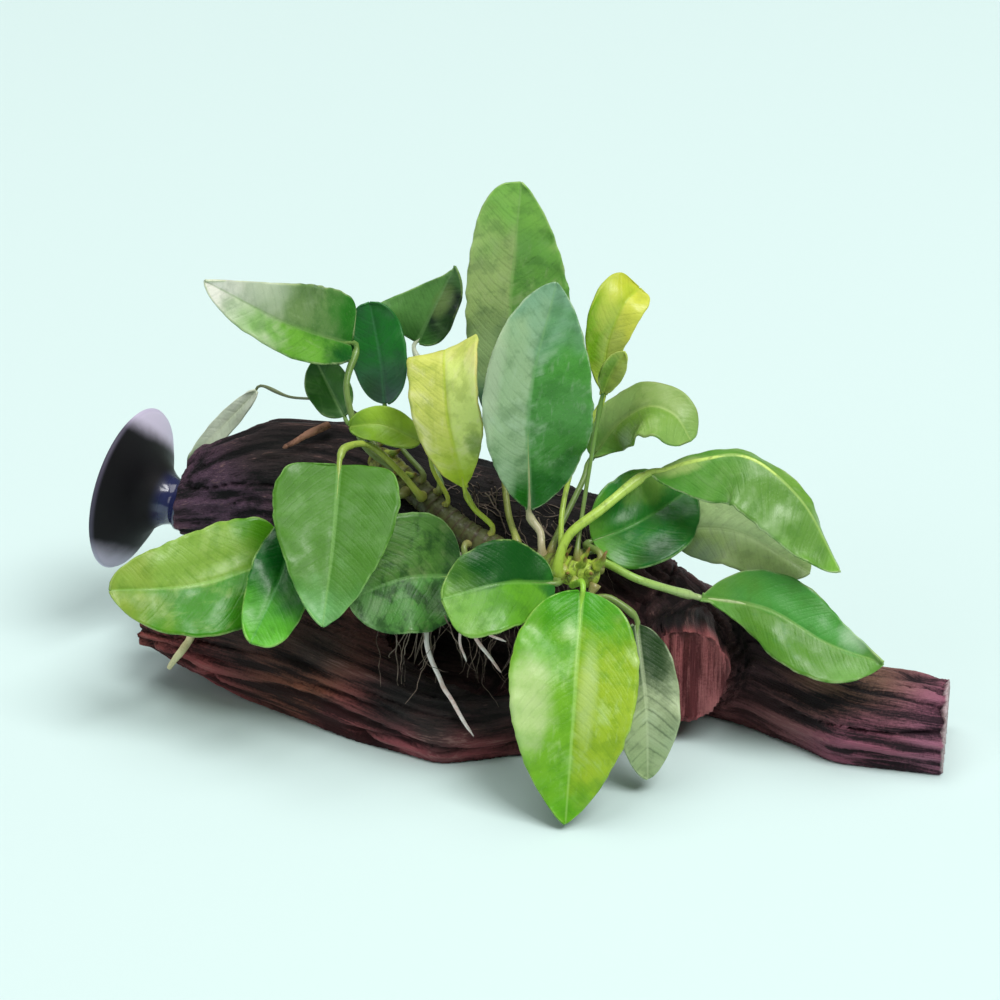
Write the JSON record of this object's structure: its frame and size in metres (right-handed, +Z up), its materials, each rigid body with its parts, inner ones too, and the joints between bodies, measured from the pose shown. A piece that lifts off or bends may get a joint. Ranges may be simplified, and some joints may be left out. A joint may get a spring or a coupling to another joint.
{
  "type": "anubias on driftwood",
  "caption": "Water plant with oval leathery leaves and hanging roots on forked driftwood that ends in a suction cup.",
  "frame": {"origin": "on the surface the wood stands on, under the middle of the whole object's box", "axes": "+X to the right along the wood, seen from the front of the plant; +Z up; the leaves face -Y"},
  "size_m": [0.2115, 0.121, 0.1261],
  "materials": {
    "driftwood": "weathered, damp, dark red-brown",
    "suction_cup": "smooth, glossy, smoky violet",
    "leaf_green": "leathery, semi-gloss",
    "leaf_dark": "leathery, semi-gloss",
    "leaf_pale": "leathery, greyish",
    "leaf_yellow": "leathery, semi-gloss",
    "stalk": "smooth, semi-gloss",
    "rhizome": "ringed, satin",
    "root": "matte, pale pink"
  },
  "bodies": {
    "root": {"driftwood_front_knob": "driftwood", "driftwood_left_back_branch": "driftwood", "driftwood_left_front_arm": "driftwood", "driftwood_right_arm": "driftwood", "driftwood_trunk": "driftwood", "leaf_back_left": "leaf_dark", "leaf_back_low": "leaf_dark", "leaf_back_mid": "leaf_green", "leaf_centre": "leaf_green", "leaf_faded": "leaf_pale", "leaf_front": "leaf_green", "leaf_front_folded": "leaf_dark", "leaf_front_pale": "leaf_pale", "leaf_left_broad": "leaf_green", "leaf_left_dark": "leaf_dark", "leaf_left_low": "leaf_green", "leaf_left_top": "leaf_green", "leaf_lime_small": "leaf_yellow", "leaf_mottled": "leaf_green", "leaf_right_big": "leaf_green", "leaf_right_grey": "leaf_pale", "leaf_right_inner": "leaf_dark", "leaf_right_low": "leaf_green", "leaf_right_small": "leaf_green", "leaf_tall_back": "leaf_green", "leaf_yellow": "leaf_yellow", "leaf_young_low": "leaf_green", "leaf_young_top": "leaf_yellow", "old_stalk": "root", "rhizome": "rhizome", "root_left": "root", "root_long": "root", "root_middle": "root", "root_on_arm": "root", "root_right": "root", "stalk_back_left": "stalk", "stalk_back_low": "stalk", "stalk_back_mid": "stalk", "stalk_centre": "stalk", "stalk_faded": "stalk", "stalk_front": "stalk", "stalk_front_folded": "stalk", "stalk_front_pale": "stalk", "stalk_left_broad": "stalk", "stalk_left_dark": "stalk", "stalk_left_low": "stalk", "stalk_left_top": "stalk", "stalk_lime_small": "stalk", "stalk_mottled": "stalk", "stalk_right_big": "stalk", "stalk_right_grey": "stalk", "stalk_right_inner": "stalk", "stalk_right_low": "stalk", "stalk_right_small": "stalk", "stalk_tall_back": "stalk", "stalk_yellow": "stalk", "stalk_young_low": "stalk", "stalk_young_top": "stalk", "suction_cup": "suction_cup"}
  },
  "joints": []
}
